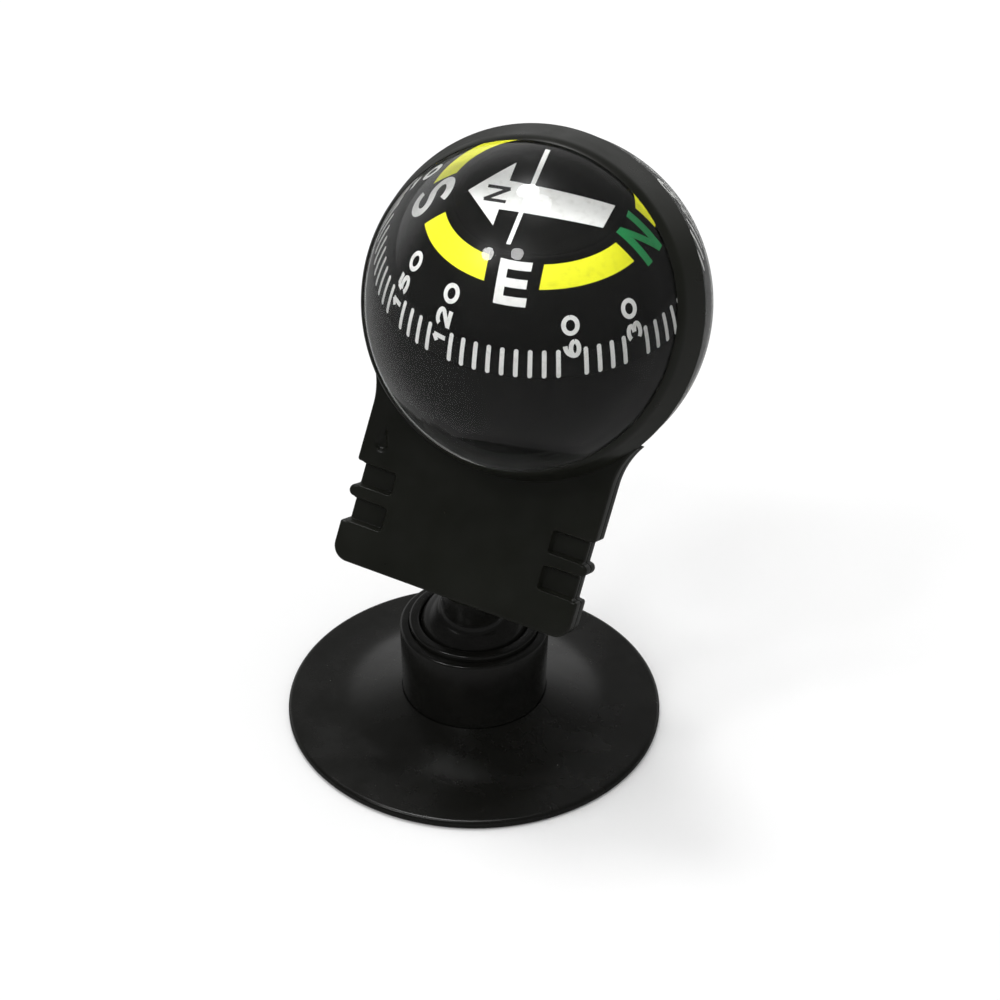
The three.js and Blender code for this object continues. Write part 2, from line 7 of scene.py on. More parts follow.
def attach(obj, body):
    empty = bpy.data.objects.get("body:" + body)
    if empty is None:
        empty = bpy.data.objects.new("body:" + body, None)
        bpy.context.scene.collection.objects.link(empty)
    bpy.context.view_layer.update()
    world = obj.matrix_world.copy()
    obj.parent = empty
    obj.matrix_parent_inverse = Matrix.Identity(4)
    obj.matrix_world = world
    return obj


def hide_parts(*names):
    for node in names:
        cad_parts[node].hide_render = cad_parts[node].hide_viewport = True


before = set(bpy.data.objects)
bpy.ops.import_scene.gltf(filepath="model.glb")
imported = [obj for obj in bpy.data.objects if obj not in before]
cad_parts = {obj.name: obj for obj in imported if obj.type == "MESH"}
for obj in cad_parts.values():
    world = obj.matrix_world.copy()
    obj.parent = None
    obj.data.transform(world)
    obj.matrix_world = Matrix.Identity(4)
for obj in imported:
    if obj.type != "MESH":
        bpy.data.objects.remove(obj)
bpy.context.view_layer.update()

# A car dashboard compass: a clear ball filled with liquid round a printed card, held in a flat two-part frame
# that leans back on a ball joint, on a black suction cup. All lengths are in millimetres, as in the CAD source.
MM = 0.001

# Suction cup
cup_radius = 22.5
cup_rim_height = 1.1
cup_rim_round = 0.45
cup_face_width = 2.4
cup_hollow_height = 1.3
cup_seat_height = 3.4
cup_brim_rise = 0.12
cup_cone_radius = 15.5
cup_cone_blend = 1.3
cup_flare_height = 3.75
cup_well_height = 2.2
cup_well_radius = 5.1
fit_gap = 0.1  # room left between pieces that are pressed or set together

# Ball joint
ball_radius = 6.8
ball_height = 11.25
lining_inner = 6.95
lining_outer = 7.8
bore_radius = 7.9
housing_radius = 8.9
foot_radius = 8.65
housing_bottom = 3.5
housing_lip = 13.2
housing_round = 0.35
spigot_radius = 5.0
ring_rise = 0.7
ring_round = 0.3
ring_step = 0.16
stem_radius = 3.8
stem_flare = 0.7
stem_reach = 10.4
stem_end_round = 0.2
peg_radius = 2.4
peg_length = 6.0
peg_chamfer = 0.4
boss_radius = 4.4
boss_foot_round = 0.4

# Clear ball
dome_radius = 19.9
dome_inner = 18.3
liquid_overlap = 0.03
dome_seam = -2.7
seal_thickness = 0.5
seal_inner = 18.55
seal_outer = 19.45
plug_radius = 1.5
plug_hole_radius = 1.6
plug_head_radius = 2.6
plug_head_height = 0.6
plug_edge_round = 0.3
plug_foot_round = 0.08

# Frame, measured from the clear ball's centre
frame_front = 2.67
frame_rear = 0.84
seam = -0.95
layer_gap = 0.1
collar_inner = 20.05
collar_outer = 20.45
collar_back = 2.2
collar_reach = 7.5
collar_bevel = 1.2
collar_wall = 0.3
collar_lip = 0.15
facet_room = 0.05  # smooth rounds keep this far inside the CAD solids' outlines
plate_half_width = 15.05
plate_drop = 35.77
plate_corner = 1.9
face_round = 0.32
back_round = 0.25
seam_round = 0.12
shoulder_radius = 9.0
upper_groove_top = 23.82
grip_rib_top = 26.65
grip_rib_bottom = 28.05
lower_groove_bottom = 31.09
groove_depth = 0.8
groove_round = 0.35
groove_floor_round = 0.2
rib_foot_round = 0.1
pocket_length = 5.2
pocket_depth = 0.9
pocket_round = 0.6
pocket_wall = 0.4
dimple_across = 12.65
dimple_down = 21.2
dimple_radius = 0.85
dimple_rise = 2.55
dimple_depth = 0.4
dimple_wall = 0.5
cradle_reach = 4.6
cradle_outer = 21.6
cradle_across = 11.0
cradle_round = 0.35
screw_places = ((-12.5, -19.3), (12.5, -19.3), (-10.5, -33.0), (10.5, -33.0))
screw_head_radius = 1.6
screw_head_height = 0.9
screw_slot_width = 0.5
screw_slot_depth = 0.45
screw_edge_round = 0.2
screw_sink_radius = 1.72
screw_sink_wall = 0.25
screw_shank_radius = 0.85
screw_chamfer = 0.15
screw_bite = 0.9

# Card
card_radius = 13.5
card_top = 10.8
card_wall = 1.0
card_step = 1.2
card_rebate = 0.45
card_edge_round = 0.3
card_open_angle = -84  # where the lower card's shell stops round the ballast, in degrees
ballast_radius = 4.5
ballast_top = -8.96
ballast_foot = -11.56
ballast_round = 0.3
pivot_radius = 1.2
pivot_tip = -17.65
pivot_tip_radius = 0.35

# Print on the card
# A place on its ball is in degrees round from the front to the right, and in degrees down from its top.
print_turn = np.radians(-2)  # how far the print sits round from the card's own heading
print_aside = 0.25  # how far left of the middle the print on the flat top lies
ink_rise = 0.03
ink_step = 0.005  # how much prouder each stroke stands than one that it crosses
ink_root = 0.06
fine_ink_root = 0.05
tick_step = 6
tick_down = 83.6
tick_reach = 1.28
numbered = (30, 60, 120, 150, 210, 240, 300, 330)
digit_down = {2: (77.3, 67.2), 3: (81.4, 72.5, 61.8)}
digit_half = 0.7
digit_wide = 0.8
digit_pen = 0.46
letter_pen = 0.9
letter_wide = 1.62
letter_tall = 2.24
letter_places = {"E": (0.5, 49.7), "S": (-94, 48.6), "W": (180, 49.3), "N": (90, 47.5)}
south_bowl = (1.4, 1.04)
south_foot = (1.44, 1.07)
west_leg = 1.15
west_reach = 2.25
north_wide = 1.75
north_tall = 2.3
north_slant = 0.9
arc_top = 40.8
arc_bottom = 51.5
arc_gap = 2.8
arrow_tip = -6.5
arrow_neck = -3.1
arrow_wing = 4.45
arrow_tail = 6.95
shaft_front = 2.0
shaft_back = 1.75
hair_low = -1.2
hair_high = -0.78
hair_start = 1.97
hair_left = 6.8
hair_right = 6.9
pointer_pen = 0.42

# How the head stands on the joint
head_lean = np.radians(27.6)
head_roll = np.radians(5.3)
stem_angle = np.radians(40)
head_setback = 12.65
head_height = 42.66
card_heading = np.radians(10)

# Light and camera
floor_reach = 3.0
lamp_distance = 0.95
lamp_aim_height = 0.04
backdrop_way = (-0.5, 0.866, 0)
backdrop_level = 0.6
room_level = 0.06
soft_level = 0.7  # what matt surfaces and light through the clear ball get
camera_place = (2.941, -337.335, 280.3)  # before its swing
camera_swing = np.radians(23.95)
camera_down = np.radians(36.44)
camera_tilt = 0.008
camera_lens = 129.6


def about_x(angle):
    """Matrix of a turn about X."""
    c, s = np.cos(angle), np.sin(angle)
    return np.array([[1, 0, 0], [0, c, -s], [0, s, c]])


def about_y(angle):
    """Matrix of a turn about Y."""
    c, s = np.cos(angle), np.sin(angle)
    return np.array([[c, 0, s], [0, 1, 0], [-s, 0, c]])


def about_z(angle):
    """Matrix of a turn about Z."""
    c, s = np.cos(angle), np.sin(angle)
    return np.array([[c, -s, 0], [s, c, 0], [0, 0, 1]])


head_turn = about_y(head_roll) @ about_x(-head_lean)
joint_centre = np.array([0, 0, ball_height])
ball_centre = head_turn @ np.array([0, -head_setback, head_height]) + joint_centre


def on_base(points):
    """Points of the base stay where they are."""
    return points


def on_frame(points):
    """Points measured from the clear ball's centre, in the frame's own leaning axes."""
    return points @ head_turn.T + ball_centre


def on_stem(points):
    """Points measured from the joint ball's centre, with Z along the stem."""
    return points @ (head_turn @ about_x(stem_angle)).T + joint_centre


def on_card(points):
    """Points measured from the clear ball's centre, level and turned to the card's heading."""
    return points @ about_z(card_heading).T + ball_centre


def on_print(points):
    """The same for the card's print, which sits a little round from its heading."""
    return on_card(points @ about_z(print_turn).T)


# Shapes

def bend(across, up, radius, start, stop, steps=8):
    """Arc of a circle: centre plus radius times (cos, sin) of the angle, from start to stop in degrees."""
    angle = np.radians(np.linspace(start, stop, steps + 1))
    return np.stack([across + radius * np.cos(angle), up + radius * np.sin(angle)], 1)


def corner(across, up, radius, start, steps=8):
    """Quarter circle that rounds the corner at a point: from -90 degrees below, 0 above, or 90 above an inner one."""
    inwards, downwards = (1 if start > 0 else -1), (1 if start < 0 else -1)
    return bend(across + inwards * radius, up + downwards * radius, radius, start, start + 90, steps)


def flare(first, control, last, steps=24):
    """Parabola through two points with one control point: (1-t)^2 first + 2t(1-t) control + t^2 last."""
    t = np.linspace(0, 1, steps + 1)[:, None]
    return (1 - t) ** 2 * np.array(first) + 2 * t * (1 - t) * np.array(control) + t ** 2 * np.array(last)


def smooth(t):
    """S-curve from 0 to 1: 3t^2 - 2t^3, held inside that range."""
    t = np.clip(t, 0, 1)
    return t * t * (3 - 2 * t)


def line(*points):
    """Corner points as they are."""
    return np.array(points, float)


def grid(rows, columns, wrap_rows=False, wrap_columns=False):
    """Four-sided faces between neighbours of a rows by columns grid of points."""
    index = np.arange(rows * columns).reshape(rows, columns)
    if wrap_rows:
        index = np.vstack([index, index[:1]])
    if wrap_columns:
        index = np.hstack([index, index[:, :1]])
    faces = np.stack([index[:-1, :-1], index[1:, :-1], index[1:, 1:], index[:-1, 1:]], -1)
    return faces.reshape(-1, 4)


def outward(points, faces):
    """Turns the faces round if the volume they enclose, the sum of their signed pyramids, is negative."""
    a, b, c, d = (points[faces[:, i]] for i in range(4))
    volume = np.sum(a * np.cross(b, c)) + np.sum(a * np.cross(c, d))
    return (points, faces if volume > 0 else faces[:, ::-1])


def turned(outline, facets=192, ring=False):
    """Turned about Z: a point (r, h) of the outline goes to (r cos a, r sin a, h) at every angle a.

    A ring's outline closes on itself. Any other starts and ends on the axis.
    """
    angle = np.arange(facets) * 2 * np.pi / facets
    radius, height = outline.T
    points = np.stack(
        [np.outer(radius, np.cos(angle)), np.outer(radius, np.sin(angle)), np.outer(height, np.ones(facets))], -1
    )
    return outward(points.reshape(-1, 3), grid(len(outline), facets, ring, True))


def turned_back(outline, facets=192, ring=False):
    """The same turned about Y, so that the outline's heights run from front to back."""
    points, faces = turned(outline, facets, ring)
    return outward(points[:, [0, 2, 1]], faces)


def swept_back(outline, start, stop, steps=96):
    """A closed outline swept about Y between two angles from straight down.

    At each end the outline shrinks onto its own middle, which closes it.
    """
    angle = np.linspace(start, stop, steps + 1)
    middle = outline.mean(0)
    rings = [middle + 0 * outline] + [outline] * (steps + 1) + [middle + 0 * outline]
    angle = np.concatenate([[start], angle, [stop]])
    radius, depth = np.stack(rings).transpose(2, 0, 1)
    points = np.stack([np.sin(angle)[:, None] * radius, depth, -np.cos(angle)[:, None] * radius], -1)
    return outward(points.reshape(-1, 3), grid(steps + 3, len(outline), False, True))


def sheet_slab(flat, chart, proud, sunk):
    """A thin slab: a grid of flat points laid on a surface by chart(points, height), once above and once below it.

    Walls join the rims of the two sheets.
    """
    rows, columns = flat.shape[:2]
    top = chart(flat, proud).reshape(-1, 3)
    under = chart(flat, -sunk).reshape(-1, 3)
    index = np.arange(rows * columns).reshape(rows, columns)
    rim = np.concatenate([index[0, :-1], index[:-1, -1], index[-1, :0:-1], index[:0:-1, 0]])
    after = np.roll(rim, -1)
    shift = rows * columns
    walls = np.stack([rim, rim + shift, after + shift, after], 1)
    faces = np.vstack([grid(rows, columns), grid(rows, columns)[:, ::-1] + shift, walls])
    return outward(np.vstack([top, under]), faces)


def joined(*parts):
    """Several surfaces in one list of points and faces."""
    shift = np.cumsum([0] + [len(points) for points, _ in parts])
    return np.vstack([p for p, _ in parts]), np.vstack([f + s for (_, f), s in zip(parts, shift)])


def piece(name, part, place, materials, body, replaces=(), sharp=35, choose=None):
    """A named Blender mesh from points in millimetres, welded, shaded smooth up to the sharp angle in degrees."""
    points, faces = part
    mesh = bpy.data.meshes.new(name)
    mesh.from_pydata((place(points) * MM).tolist(), [], faces.tolist())
    if choose is not None:
        mesh.polygons.foreach_set("material_index", choose(points[faces].mean(1)).astype(np.int32))
    made = bmesh.new()
    made.from_mesh(mesh)
    bmesh.ops.remove_doubles(made, verts=made.verts, dist=2e-7)
    made.to_mesh(mesh)
    made.free()
    mesh.shade_smooth()
    mesh.set_sharp_from_angle(angle=np.radians(sharp))
    for material in materials:
        mesh.materials.append(material)
    thing = bpy.data.objects.new(name, mesh)
    bpy.context.scene.collection.objects.link(thing)
    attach(thing, body)
    if replaces:
        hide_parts(*replaces)


# Materials

def map_range(tree, value, low, high, to_low, to_high, change="LINEAR"):
    """Value from low..high taken to to_low..to_high, held inside them; to_high may be another node's output."""
    made = tree.nodes.new("ShaderNodeMapRange")
    made.interpolation_type = change
    made.inputs["From Min"].default_value = low
    made.inputs["From Max"].default_value = high
    made.inputs["To Min"].default_value = to_low
    tree.links.new(value, made.inputs["Value"])
    if isinstance(to_high, float):
        made.inputs["To Max"].default_value = to_high
    else:
        tree.links.new(to_high, made.inputs["To Max"])
    return made.outputs["Result"]


class Finish:
    """A node material with one main shader, read in Object coordinates."""

    def __init__(self, name, colour, roughness, specular=0.5, metallic=0.0):
        self.material = bpy.data.materials.new(name)
        self.material.use_nodes = True
        self.tree = self.material.node_tree
        self.tree.nodes.clear()
        self.output = self.node("ShaderNodeOutputMaterial")
        self.shader = self.node("ShaderNodeBsdfPrincipled")
        self.join(self.shader, "BSDF", self.output, "Surface")
        self.shader.inputs["Base Color"].default_value = (*colour, 1)
        self.shader.inputs["Roughness"].default_value = roughness
        self.shader.inputs["Metallic"].default_value = metallic
        self.shader.inputs["Specular IOR Level"].default_value = specular
        self.place = self.node("ShaderNodeTexCoord").outputs["Object"]
        self.last_bump = None

    def node(self, kind):
        return self.tree.nodes.new(kind)

    def join(self, first, output, second, entry):
        self.tree.links.new(first.outputs[output], second.inputs[entry])

    def noise(self, size, detail=3.0, roughness=0.55):
        """Noise whose patches are about size millimetres across."""
        made = self.node("ShaderNodeTexNoise")
        made.inputs["Scale"].default_value = 1 / (size * MM)
        made.inputs["Detail"].default_value = detail
        made.inputs["Roughness"].default_value = roughness
        self.tree.links.new(self.place, made.inputs["Vector"])
        return made.outputs["Fac"]

    def rough(self, value, low, high, to_low, to_high):
        """Roughness from to_low to to_high as the value goes from low to high."""
        result = map_range(self.tree, value, low, high, to_low, to_high)
        self.tree.links.new(result, self.shader.inputs["Roughness"])

    def tint(self, value, stops):
        """Colours the surface by a value and colour stops (place, colour)."""
        ramp = self.node("ShaderNodeValToRGB")
        marks = ramp.color_ramp.elements
        marks[0].position, marks[0].color = stops[0][0], (*stops[0][1], 1)
        marks[1].position, marks[1].color = stops[-1][0], (*stops[-1][1], 1)
        for position, colour in stops[1:-1]:
            marks.new(position).color = (*colour, 1)
        self.tree.links.new(value, ramp.inputs["Fac"])
        self.join(ramp, "Color", self.shader, "Base Color")

    def bump(self, value, depth):
        """Raises the surface by depth millimetres where the value is one."""
        made = self.node("ShaderNodeBump")
        made.inputs["Distance"].default_value = depth * MM
        self.tree.links.new(value, made.inputs["Height"])
        if self.last_bump:
            self.join(self.last_bump, "Normal", made, "Normal")
        self.join(made, "Normal", self.shader, "Normal")
        self.last_bump = made


def plain_finish(name, low, high, rough_low, rough_high, grains, patch=4, wear=(2, 4, 0.3), **kind):
    """An opaque finish whose colour and roughness wander between two values, with grains of (size, depth).

    The wear is the size and the detail of the patches of roughness, and the noise at which they start.
    """
    f = Finish(name, high, rough_high, **kind)
    f.tint(f.noise(patch, 4), [(0.35, low), (0.65, high)])
    size, detail, start = wear
    f.rough(f.noise(size, detail), start, 0.7, rough_low, rough_high)
    for size, depth in grains:
        f.bump(f.noise(size, 2), depth)
    return f.material


def soft_vinyl():
    """Soft black vinyl of the suction cup: satin, lightly dusty, with a faint uneven bump."""
    f = Finish("soft_black_vinyl", (0.005, 0.005, 0.004), 0.26)
    f.tint(f.noise(0.35, 6, roughness=0.7),
           [(0.3, (0.004, 0.004, 0.0032)), (0.7, (0.0065, 0.0065, 0.0052)), (0.82, (0.02, 0.02, 0.018))])
    f.rough(f.noise(5, 5), 0.3, 0.7, 0.21, 0.31)
    f.bump(f.noise(3, 2), 0.02)
    f.bump(f.noise(0.18, 3), 0.003)
    return f.material


def print_ink(name, thin, full):
    """Printed ink: nearly even, a little thinner in spots, with a faint grain."""
    f = Finish(name, full, 0.5, specular=0.25)
    f.tint(f.noise(0.7, 5), [(0.3, thin), (0.5, full)])
    f.rough(f.noise(0.4, 4), 0.3, 0.7, 0.42, 0.58)
    f.bump(f.noise(0.1, 2), 0.002)
    return f.material


def let_lamps_through(f):
    """Lets lamp light pass straight through a clear shader: shadow rays meet a transparent one instead."""
    path = f.node("ShaderNodeLightPath")
    clear = f.node("ShaderNodeBsdfTransparent")
    choice = f.node("ShaderNodeMixShader")
    f.join(path, "Is Shadow Ray", choice, "Fac")
    f.join(f.shader, "BSDF", choice, 1)
    f.join(clear, "BSDF", choice, 2)
    f.join(choice, "Shader", f.output, "Surface")


def clear_finish(name, colour, ior, shine):
    """A clear shader that bends light by ior, and mirrors it by its shine."""
    f = Finish(name, colour, 0.0)
    for entry, value in (("Transmission Weight", 1.0), ("IOR", ior), ("Specular Tint", (shine, shine, shine, 1))):
        f.shader.inputs[entry].default_value = value
    let_lamps_through(f)
    return f


def clear_plastic(name, shine):
    """Clear moulded plastic under a soft haze, with a few faint smudges and moulding waves."""
    f = clear_finish(name, (0.985, 0.99, 0.985), 1.49, shine)
    f.shader.inputs["Coat Weight"].default_value = 0.5 * shine
    f.shader.inputs["Coat Roughness"].default_value = 0.28
    f.rough(f.noise(3.5, 6), 0.55, 0.75, 0.012, 0.07)
    f.bump(f.noise(7, 2), 0.004)
    return f.material


def damping_liquid():
    """Clear oil that fills the ball and slows the card. It mirrors nothing, as it wets the plastic."""
    f = clear_finish("damping_liquid", (0.99, 0.99, 0.98), 1.46, 0)
    f.tint(f.noise(14, 1), [(0.3, (0.985, 0.988, 0.975)), (0.7, (0.995, 0.995, 0.99))])
    return f.material


gloss = plain_finish("polished_black_plastic", (0.005, 0.005, 0.0045), (0.0075, 0.0075, 0.0065), 0.15, 0.27,
                     ((1.6, 0.006), (0.12, 0.0012)), patch=6, wear=(3, 5, 0.35))
satin = plain_finish("satin_black_plastic", (0.0068, 0.0074, 0.0048), (0.0095, 0.0102, 0.007), 0.26, 0.4,
                     ((2.5, 0.008), (0.1, 0.002)), patch=8, wear=(4, 6, 0.3), specular=0.45)
vinyl = soft_vinyl()
card_black = plain_finish("black_card_plastic", (0.0025, 0.0025, 0.002), (0.0045, 0.0045, 0.004), 0.4, 0.5,
                          ((0.4, 0.001),), patch=5, specular=0.03)
white_ink = print_ink("white_ink", (0.8, 0.8, 0.78), (0.93, 0.93, 0.92))
yellow_ink = print_ink("yellow_ink", (0.88, 0.88, 0.02), (0.98, 0.98, 0.022))
green_ink = print_ink("green_ink", (0.021, 0.31, 0.095), (0.026, 0.37, 0.112))
black_ink = print_ink("black_ink", (0.01, 0.01, 0.01), (0.02, 0.02, 0.02))
dome_outside = clear_plastic("clear_dome_plastic", 0.85)
dome_inside = clear_plastic("clear_dome_inside", 0.0)  # wetted by the liquid, so it mirrors nothing
liquid = damping_liquid()
seal_rubber = plain_finish("seal_rubber", (0.01, 0.01, 0.009), (0.016, 0.016, 0.014), 0.5, 0.65, ((0.2, 0.004),))
white_nylon = plain_finish("white_nylon", (0.66, 0.64, 0.58), (0.72, 0.7, 0.65), 0.4, 0.55, ((0.2, 0.003),))
screw_steel = plain_finish("zinc_steel", (0.42, 0.43, 0.44), (0.56, 0.57, 0.58), 0.26, 0.42, ((0.12, 0.003),),
                           metallic=1.0)
dark_ferrite = plain_finish("dark_ferrite", (0.03, 0.03, 0.032), (0.05, 0.05, 0.053), 0.5, 0.7, ((0.15, 0.005),),
                            metallic=0.2)
plug_plastic = plain_finish("plug_plastic", (0.006, 0.006, 0.0055), (0.01, 0.01, 0.009), 0.2, 0.3, ((0.2, 0.002),))

# Base and joint

neck_hole_radius = foot_radius + fit_gap


def cup_back():
    """Upper side of the cup from rim to neck: a nearly flat brim, and a cone that starts at the cone's radius.

    Both are blended by the hyperbola (way in + root of (way in squared + blend squared)) / 2.
    """
    rim = cup_radius - cup_rim_round
    radius = np.linspace(rim, neck_hole_radius, 91)[1:]
    way_in = cup_cone_radius - np.concatenate([[rim], radius])
    cone = (way_in + np.hypot(way_in, cup_cone_blend)) / 2
    cone = (cone - cone[0]) / (cone[-1] - cone[0])
    brim = cup_brim_rise * (rim - radius) / (rim - neck_hole_radius)
    height = cup_rim_height + brim + (cup_flare_height - cup_rim_height - cup_brim_rise) * cone[1:]
    return np.stack([radius, height], 1)


cup_outline = np.vstack([
    flare((0, cup_hollow_height), ((cup_radius - cup_face_width) / 2, cup_hollow_height),
          (cup_radius - cup_face_width, 0), 40),
    corner(cup_radius, 0, cup_rim_round, -90),
    corner(cup_radius, cup_rim_height, cup_rim_round, 0),
    cup_back(),
    line((neck_hole_radius, cup_seat_height), (cup_well_radius, cup_seat_height),
         (cup_well_radius, cup_well_height), (0, cup_well_height)),
])
piece("cup_moulding", turned(cup_outline, 288), on_base, [vinyl], "base", ["suction_cup"])

spigot_foot = cup_well_height + fit_gap
housing_outline = np.vstack([
    line((0, spigot_foot), (spigot_radius, spigot_foot), (spigot_radius, housing_bottom)),
    corner(foot_radius, housing_bottom, housing_round, -90),
    corner(housing_radius, housing_lip, housing_round, 0),
    line((bore_radius, housing_lip)),
    bend(0, ball_height, bore_radius, 0, -90, 40),
])
piece("housing_moulding", turned(housing_outline), on_base, [gloss], "base", ["socket_housing"])

ring_top = housing_lip + ring_rise
mouth = np.sqrt(lining_inner ** 2 - (ring_top - ring_round - ball_height) ** 2)
mouth_angle = np.degrees(np.arcsin((ring_top - ring_round - ball_height) / lining_inner))
ring_outline = np.vstack([
    line((lining_inner, ball_height + fit_gap), (lining_outer, ball_height + fit_gap)),
    line((lining_outer, ring_top - ring_round - ring_step)),
    corner(lining_outer, ring_top, ring_round, 0),
    corner(mouth, ring_top, ring_round, 90),
    bend(0, ball_height, lining_inner, mouth_angle, 1, 16)[1:],
])
piece("snap_ring", turned(ring_outline, ring=True), on_base, [gloss], "base", ["socket_ring"])

neck = stem_radius + stem_flare
leave = np.degrees(np.arccos(neck / ball_radius))
neck_height = ball_radius * np.sin(np.radians(leave))
stud_outline = np.vstack([
    bend(0, 0, ball_radius, -90, leave, 60),
    flare((neck, neck_height), (stem_radius, neck_height + stem_flare / 2),
          (stem_radius, neck_height + 2 * stem_flare), 12)[1:],
    corner(stem_radius, stem_reach, stem_end_round, 0, 4),
    line((peg_radius, stem_reach), (peg_radius, stem_reach + peg_length - peg_chamfer),
         (peg_radius - peg_chamfer, stem_reach + peg_length), (0, stem_reach + peg_length)),
])
piece("stud_moulding", turned(stud_outline, 128), on_stem, [gloss], "stud", ["ball_stud"])


# Frame

def plate_edge():
    """Right edge of the plate from the bottom corner up to the collar: arcs of the corner, the two grip grooves
    with the round rib between them, and the shoulder that runs into the collar, as points (across, up)."""
    wall = plate_half_width - groove_depth
    floor_round, foot_round = groove_floor_round, rib_foot_round
    rib = (grip_rib_bottom - grip_rib_top) / 2
    away = shoulder_radius + plate_half_width
    rise = -np.sqrt((shoulder_radius + collar_outer) ** 2 - away ** 2)
    lip = plate_half_width - groove_round
    edge = np.vstack([
        bend(plate_half_width - plate_corner, plate_corner - plate_drop, plate_corner, -90, 0, 16),
        bend(lip, -lower_groove_bottom - groove_round, groove_round, 0, 90, 7),
        bend(wall + floor_round, -lower_groove_bottom + floor_round, floor_round, 270, 180, 5),
        bend(wall + foot_round, -grip_rib_bottom - foot_round, foot_round, 180, 90, 4),
        bend(plate_half_width - rib, -grip_rib_bottom + rib, rib, -90, 90, 16),
        bend(wall + foot_round, -grip_rib_top + foot_round, foot_round, 270, 180, 4),
        bend(wall + floor_round, -upper_groove_top - floor_round, floor_round, 180, 90, 5),
        bend(lip, -upper_groove_top + groove_round, groove_round, -90, 0, 7),
        bend(away, rise, shoulder_radius, 180, 180 - np.degrees(np.arctan2(-rise, away)), 24),
    ])
    edge[:, 1] += np.linspace(0, 1e-3, len(edge))
    return edge


def distance_to(across, up, corners):
    """Shortest distance from each point to a chain of straight lines."""
    start, stop = corners[:-1], corners[1:]
    run = stop - start
    to = np.stack([across, up], -1)[..., None, :] - start
    share = np.clip((to * run).sum(-1) / np.maximum((run * run).sum(-1), 1e-12), 0, 1)
    return np.linalg.norm(to - share[..., None] * run, axis=-1).min(-1)


def round_over(distance, radius):
    """How far a rounded edge falls away: radius minus the height of its quarter circle."""
    inside = np.clip(radius - distance, 0, radius)
    return radius - np.sqrt(radius ** 2 - inside ** 2)


def pocket(across, up, top, bottom):
    """Depth of a finger pocket: a rounded box, open at the plate's edge, whose wall is an S-curve."""
    near, far = plate_half_width - pocket_length, plate_half_width + 3
    middle = np.array([(near + far) / 2, -(top + bottom) / 2])
    half = np.array([(far - near) / 2, (bottom - top) / 2]) - pocket_round
    reach = np.abs(np.stack([np.abs(across), up], -1) - middle) - half
    outside = np.linalg.norm(np.maximum(reach, 0), axis=-1) + np.minimum(reach.max(-1), 0) - pocket_round
    return pocket_depth * smooth(-outside / pocket_wall + 0.1)


def dimple(across, up):
    """Depth of the drop-shaped dimple: a half round below that tapers to a point above."""
    aside, above = across + dimple_across, up + dimple_down
    taper = dimple_radius * np.clip(1 - above / dimple_rise, -1, 1)
    outside = np.where(above < 0, np.hypot(aside, above) - dimple_radius, np.abs(aside) - taper)
    return dimple_depth * smooth(-outside / dimple_wall + 0.1)


def screw_sinks(across, up):
    """Depth of the round sinks for the screw heads: full inside the radius, with an S-curve for a wall."""
    depth = 0 * across
    for x, z in screw_places:
        inside = screw_sink_radius - np.hypot(across - x, up - z)
        depth = np.maximum(depth, smooth(inside / screw_sink_wall + 0.5))
    return screw_head_height * depth


def plate(front, rear, front_round, rear_round, carved):
    """Flat plate between two depths: rows up the plate by columns from the edge inwards to the middle or the hole.

    Each face falls away at the outline by its rounding. The front plate's face is also sunk by the pockets and the
    dimple, and the rear plate's back by the screw sinks. The right half and its mirror meet on the middle line.
    """
    edge = plate_edge()
    hole = collar_inner
    insets = np.array([0, 0.012, 0.04, 0.08, 0.13, 0.19, 0.26, 0.36, 0.5])
    levels = [upper_groove_top, grip_rib_top, grip_rib_bottom, lower_groove_bottom]
    rows = np.unique(np.round(np.concatenate([
        edge[:, 1],
        -hole * np.cos(np.linspace(0, np.arccos(-edge[-1, 1] / hole), 70)),
        insets - plate_drop,
        np.arange(0.6 - plate_drop, edge[-1, 1], 0.2),
        *[np.linspace(-0.45, 0.45, 19) - level for level in levels],
    ]), 4))
    rows = rows[(rows >= edge[0, 1]) & (rows <= edge[-1, 1])]
    outer = np.interp(rows, edge[:, 1], edge[:, 0])
    inner = np.sqrt(np.clip(hole ** 2 - rows ** 2, 0, None))
    width = (outer - inner)[:, None]
    near = insets * np.minimum(width, 1)
    rest = near[:, -1:] + (width - near[:, -1:]) * np.linspace(0, 1, 76)[1:]
    across = outer[:, None] - np.hstack([near, rest])
    up = rows[:, None] + 0 * across
    outline = np.vstack([[0, -plate_drop], edge])
    away = distance_to(across, up, outline)
    halves = []
    for side in (1, -1):
        face = front + round_over(away, front_round)
        if carved:
            face = face + pocket(across, up, upper_groove_top, grip_rib_top)
            face = face + pocket(across, up, grip_rib_bottom, lower_groove_bottom) + dimple(side * across, up)
        back = rear - round_over(away, rear_round)
        if not carved:
            back = back - screw_sinks(side * across, up)
        columns = across.shape[1]
        depth = np.hstack([face[:, ::-1], back])
        wide = side * np.hstack([across[:, ::-1], across])
        high = np.hstack([up, up])
        points = np.stack([wide, depth, high], -1).reshape(-1, 3)
        index = np.arange(len(rows) * 2 * columns).reshape(len(rows), 2 * columns)
        walls = []
        for row, turn in ((index[0], 1), (index[-1], -1)):
            a, b = row[:columns], row[::-1][:columns]
            walls.append(np.stack([a[:-1], a[1:], b[1:], b[:-1]][::turn], 1))
        open_rows = np.flatnonzero(inner > 0)
        first = max(open_rows[0] - 1, 0)
        a, b = index[first:, 0], index[first:, -1]
        walls.append(np.stack([a[1:], a[:-1], b[:-1], b[1:]], 1))
        faces = np.vstack([grid(len(rows), 2 * columns), *walls])
        halves.append((points, faces if side == 1 else faces[:, ::-1]))
    return outward(*joined(*halves))


